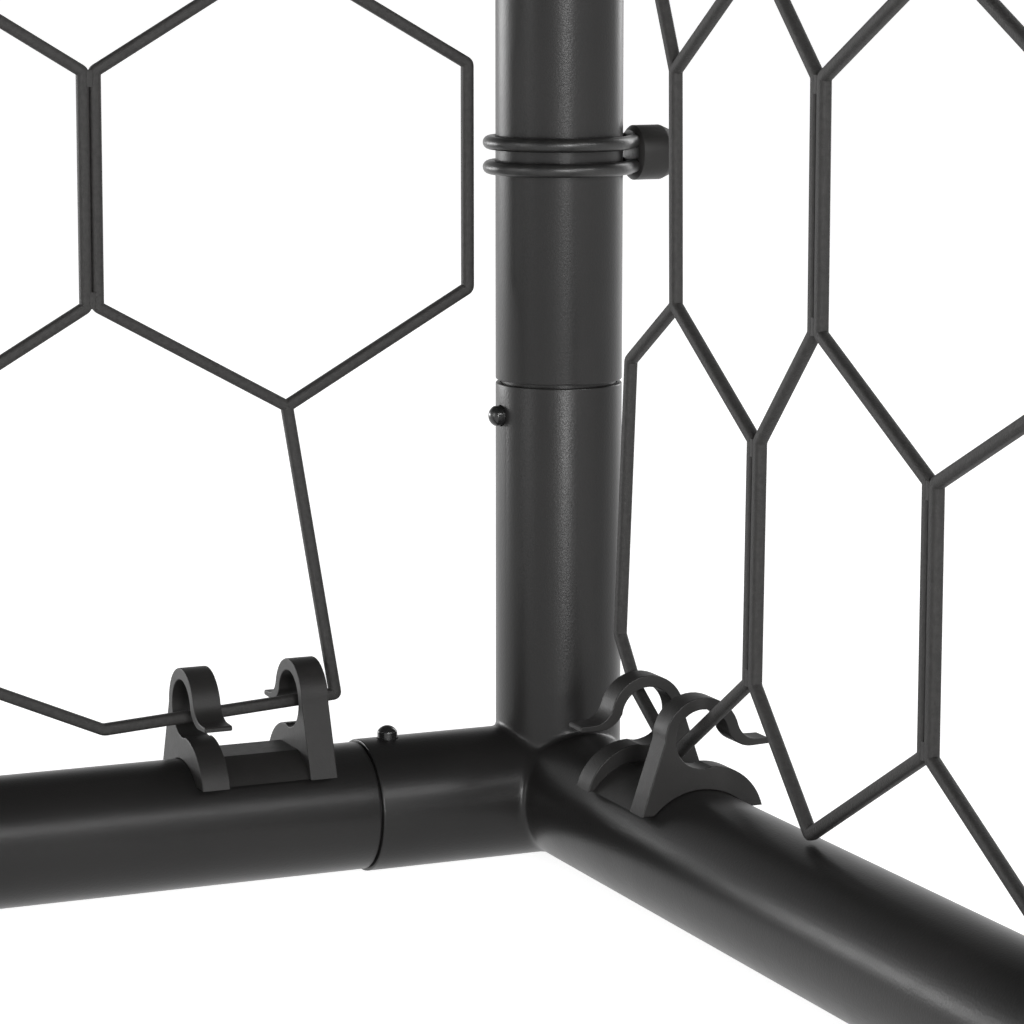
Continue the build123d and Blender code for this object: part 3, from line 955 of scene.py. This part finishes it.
class Panel:
    """A net between four tubes, in (across, up) distances from the panel's own origin.

    Two threads run side by side along each mesh side that runs up the panel, and part at
    its ends. Column c has such sides in the rows whose number has the parity of c + odd.
    moves gives places to knots that are pulled out of line. single names the mesh sides
    where one of the two threads, before (-1) or after (1) the column, is missing. edge is
    the border's distance from its tube halfway between two mesh sides.
    """

    def __init__(self, columns, rows, low_row, height, edge, odd, low_clips, high_clips):
        self.columns = columns
        self.rows = rows
        self.low_row = low_row
        self.height = height
        self.edge = edge
        self.odd = odd
        self.clips = {"low": low_clips, "high": high_clips}
        self.moves = {}
        self.single = {}

    def present(self, column, row):
        return (column + row + self.odd) % 2 == 0

    def knot(self, column, row, end):
        """Where a mesh side ends: end is -1 at the bottom and 1 at the top."""
        if (column, row, end) in self.moves:
            return self.moves[column, row, end]
        across = self.columns[column]
        up = self.low_row + row * ROW + end * CELL_SIDE / 2
        clips = ()
        if row == 0 and end == -1:
            clips = self.clips["low"]
        if row == self.rows - 1 and end == 1:
            clips = self.clips["high"]
        for clip in clips:
            if abs(across - clip) < PULLED:
                across = clip + math.copysign(PULLED, across - clip)
                up = HOOK_LEVEL if end == -1 else self.height - HOOK_LEVEL
        return across, up

    def shifted(self, column, row, end, side):
        """Knot of one thread of a pair, moved out along the slanting side it runs into."""
        across, up = self.knot(column, row, end)
        if (column, row) in self.single:
            return across, up
        apart = PAIR / 2
        return across + side * apart, up + end * apart * CELL_RISE / CELL_HALF

    def thread(self, column):
        """The thread that swings between a column and the next one, in one or more pieces."""
        pieces = [[]]
        for row in range(self.rows):
            here = self.present(column, row)
            at = column if here else column + 1
            side = 1 if here else -1
            low = self.shifted(at, row, -1, side)
            high = self.shifted(at, row, 1, side)
            half = halfway(low, high)
            loose = not 0 <= at + 2 * side < len(self.columns)
            if self.single.get((at, row)) == side:
                pieces[-1].append(low)
                pieces.append([high])
                continue
            pieces[-1].append(low if row > 0 or loose else half)
            pieces[-1].append(high if row < self.rows - 1 or loose else half)
        return [piece for piece in pieces if len(piece) > 1]

    def from_edge(self, name, up):
        """A level measured from the low or the high tube."""
        return up if name == "low" else self.height - up

    def borders(self, name):
        """Loops that join the mesh sides of the first or last row through the hooks."""
        row = 0 if name == "low" else self.rows - 1
        end = -1 if name == "low" else 1
        paths = []
        for column in range(len(self.columns) - 2):
            if not self.present(column, row):
                continue
            first = self.shifted(column, row, end, 1)
            last = self.shifted(column + 2, row, end, -1)
            low_first = self.shifted(column, row, -end, 1)
            low_last = self.shifted(column + 2, row, -end, -1)
            held = [c for c in self.clips[name] if first[0] < c < last[0]]
            free = self.columns[column + 1]
            between = []
            if all(abs(free - c) > FREE_OF_CLIP for c in held):
                between.append((free, self.from_edge(name, self.edge)))
            for clip in held:
                pulled = [k[0] for k in (first, last) if abs(k[0] - clip) < PULLED_REACH]
                if pulled:
                    away = math.copysign(GUIDE, clip - pulled[0])
                    between.append((clip + away, self.from_edge(name, GUIDE_LEVEL)))
                    continue
                between.append((clip + SAG_SHIFT, self.from_edge(name, SAG_LEVEL)))
                for knot in (first[0], last[0]):
                    if abs(knot - clip) < NEAR_ARCH:
                        under = math.copysign(ARCH, knot - clip)
                        between.append((clip + under, self.from_edge(name, ARCH_LEVEL)))
            path = [halfway(low_first, first), first]
            path += sorted(between)
            path += [last, halfway(low_last, last)]
            paths.append(path)
        return paths

    def paths(self):
        threads = []
        for column in range(len(self.columns) - 1):
            threads += self.thread(column)
        return threads + self.borders("low") + self.borders("high") + self.joins()

    def joins(self):
        """Short pieces where a pair of threads is fused at both ends of a mesh side."""
        pieces = []
        for row in range(self.rows):
            for column in range(len(self.columns)):
                if not self.present(column, row) or (column, row) in self.single:
                    continue
                for end in (-1, 1):
                    across, up = self.knot(column, row, end)
                    outer = up + end * JOIN_OUT
                    inner = up - end * JOIN_IN
                    pieces.append([(across, outer), (across, inner)])
        return pieces


def clip_row_centres(first, pitch):
    return [first + pitch * index for index in range(CLIPS_IN_ROW)]


def mirrored_row_centres(near):
    """Centres of the two rows of clips on a long bar, which start near its middle."""
    return [sign * centre for sign in (-1, 1) for centre in clip_row_centres(near, CLIP_PITCH)]


def back_panel():
    """Back net, measured from the middle; its columns by the corners are pulled in."""
    columns = [k * CELL_HALF for k in range(-15, 16)]
    last = len(columns) - 1
    clips = mirrored_row_centres(NEAREST_CLIP)
    height = TOP_Z - BASE_Z
    panel = Panel(columns, TALL_ROWS, LOW_ROW, height, 31.7 * MM, 1, clips, clips)
    for sign, edge, beside, pulled in ((-1, 0, 1, 2), (1, last, last - 1, last - 2)):
        for row in range(1, panel.rows, 2):
            panel.single[edge, row] = sign
        panel.single[beside, 0] = sign
        panel.moves[pulled, 1, 1] = (sign * 782.4 * MM, 229.4 * MM)
        panel.moves[pulled, 1, -1] = (sign * 782.1 * MM, 161.7 * MM)
    return panel


def side_panel():
    """Side net, measured from the rear corner towards the front, with uneven columns."""
    depth = REAR_Y - FRONT_Y
    half = [c * MM for c in (66, 82, 133, 170, 233.3, 296.7)]
    columns = half + [depth / 2] + [depth - c for c in reversed(half)]
    last = len(columns) - 1
    low = clip_row_centres(CLIP_TO_SIDE_CORNER, SIDE_CLIP_PITCH)
    high = clip_row_centres(CLIP_TO_REAR_CORNER, TOP_SIDE_CLIP_PITCH)
    height = TOP_Z - BASE_Z
    panel = Panel(columns, TALL_ROWS, LOW_ROW, height, 23.2 * MM, 0, low, high)
    for column, start, sign in ((0, 0, 1), (last, depth, -1)):
        panel.moves[column, 0, -1] = (start + sign * 46.3 * MM, 57.7 * MM)
        panel.moves[column, 0, 1] = (start + sign * 52.9 * MM, 143.3 * MM)
        for row in range(0, panel.rows, 2):
            panel.single[column, row] = -sign
    panel.moves[1, 1, -1] = (83.3 * MM, 162.6 * MM)
    panel.moves[2, 0, 1] = (135.4 * MM, 128.3 * MM)
    panel.moves[2, 0, -1] = (134 * MM, 59.9 * MM)
    panel.moves[3, 1, -1] = (170.2 * MM, 164 * MM)
    panel.moves[4, 0, 1] = (233 * MM, 129.9 * MM)
    panel.moves[4, 0, -1] = (233 * MM, 59.5 * MM)
    panel.single[1, 1] = -1
    return panel


def top_panel():
    """Top net, measured from the middle of the crossbar towards the rear."""
    depth = REAR_Y - FRONT_Y
    columns = [k * CELL_HALF for k in range(-14, 15)]
    columns = [HOOK_LEVEL - HALF_WIDTH] + columns + [HALF_WIDTH - HOOK_LEVEL]
    clips = mirrored_row_centres(NEAREST_CLIP - TOP_NET_SHIFT)
    low_row = (depth - (TOP_ROWS - 1) * ROW) / 2
    return Panel(columns, TOP_ROWS, low_row, depth, 32.5 * MM, 0, clips, clips)


def build_nets():
    section = strand_section()
    placed = [
        ("net_back", back_panel(), Vector((0, REAR_Y, BASE_Z)), X, Z),
        ("net_top", top_panel(), Vector((0, FRONT_Y, TOP_Z)), X, Y),
    ]
    for side, sign in SIDES.items():
        origin = Vector((HALF_WIDTH * sign, REAR_Y, BASE_Z))
        placed.append((f"net_{side}", side_panel(), origin, -Y, Z))
    for node, panel, origin, across, up in placed:
        whole = Build()
        normal = across.cross(up)
        for flat in panel.paths():
            path = [origin + across * a + up * b for a, b in flat]
            whole.add(*swept(rounded(path), section, normal))
        new_object(f"{node}_rope", node, whole.points, whole.faces, "net_rope", ROPE,
                   sharp=ROPE_SHARP)


# ---------------------------------------------------------------- setting
FLOOR_REACH = 40
FLOOR_GLOW = 0.9
HORIZON = (1.05, 1.05, 1.05)
ZENITH = (0.1, 0.1, 0.1)


def area_light(name, place, target, size_x, size_y, power):
    data = bpy.data.lights.new(name, "AREA")
    data.shape = "RECTANGLE"
    data.size = size_x
    data.size_y = size_y
    data.energy = power
    lamp = bpy.data.objects.new(name, data)
    bpy.context.collection.objects.link(lamp)
    lamp.location = place
    lamp.visible_camera = False
    lamp.rotation_euler = (target - place).to_track_quat("-Z", "Y").to_euler()


def build_floor():
    """Plain pale floor that glows white, so that hardly any shadow shows on it."""
    floor_mesh = bpy.data.meshes.new("floor")
    reach = FLOOR_REACH
    floor_mesh.from_pydata(
        [(-reach, -reach, 0), (reach, -reach, 0), (reach, reach, 0), (-reach, reach, 0)],
        [], [(0, 1, 2, 3)],
    )
    floor = bpy.data.objects.new("floor", floor_mesh)
    bpy.context.collection.objects.link(floor)
    pale, _, shader = material("studio_floor", (0.5, 0.5, 0.5), 0.9, 0.1)
    shader.inputs["Emission Color"].default_value = (1, 1, 1, 1)
    shader.inputs["Emission Strength"].default_value = FLOOR_GLOW
    floor_mesh.materials.append(pale)


def build_sky():
    """White at the horizon and darker overhead."""
    world = bpy.data.worlds.new("studio")
    bpy.context.scene.world = world
    world.use_nodes = True
    tree = world.node_tree
    sky = tree.nodes["Background"]
    coords = tree.nodes.new("ShaderNodeTexCoord")
    split = tree.nodes.new("ShaderNodeSeparateXYZ")
    tree.links.new(coords.outputs["Generated"], split.inputs["Vector"])
    shade = ramp(tree, split.outputs["Z"], HORIZON, ZENITH, 0.15, 0.6)
    tree.links.new(shade, sky.inputs["Color"])


def build_camera(corner):
    """Camera in front of the mouth that looks at the goal's rear right bottom corner."""
    lens = bpy.data.cameras.new("camera")
    lens.lens = 123.69
    lens.sensor_width = 36
    lens.clip_start = 0.01
    lens.clip_end = 100
    camera = bpy.data.objects.new("camera", lens)
    bpy.context.collection.objects.link(camera)
    camera.location = corner + Vector((-0.45717, -1.00762, 0.26676))
    camera.rotation_euler = (math.radians(90 - 9.1296), 0, math.radians(-23.6391))
    bpy.context.scene.camera = camera
    bpy.context.scene.view_settings.view_transform = "Standard"


def build_lamps(corner):
    """Soft lamps, with places from the rear right bottom corner, sizes and watts."""
    target = corner + Vector((-0.07, 0, 0.12))
    lamps = (
        ("key", (-0.45, -2.1, 0.45), 0.3, 0.8, 30),
        ("side_left", (-2.0, -0.2, 0.5), 0.9, 1.2, 13),
        ("band", (0.35, -1.75, 0.95), 1.2, 0.22, 17),
        ("rim_left", (-1.3, 1.9, 0.2), 1.1, 0.4, 18),
        ("rim_right", (1.6, 0.8, 0.7), 0.6, 1.3, 12),
    )
    for name, offset, width, tall, power in lamps:
        area_light(name, corner + Vector(offset), target, width, tall, power)


def build_setting():
    corner = Vector((HALF_WIDTH, REAR_Y, BASE_Z))
    build_floor()
    build_sky()
    build_camera(corner)
    build_lamps(corner)


# ---------------------------------------------------------------- everything
build_bars()
build_corners()
build_buttons()
build_clips()
build_bungees()
build_nets()
springs = frame["nodes"]["snap_springs"]
springs.data.materials.clear()
springs.data.materials.append(STEEL)
build_setting()
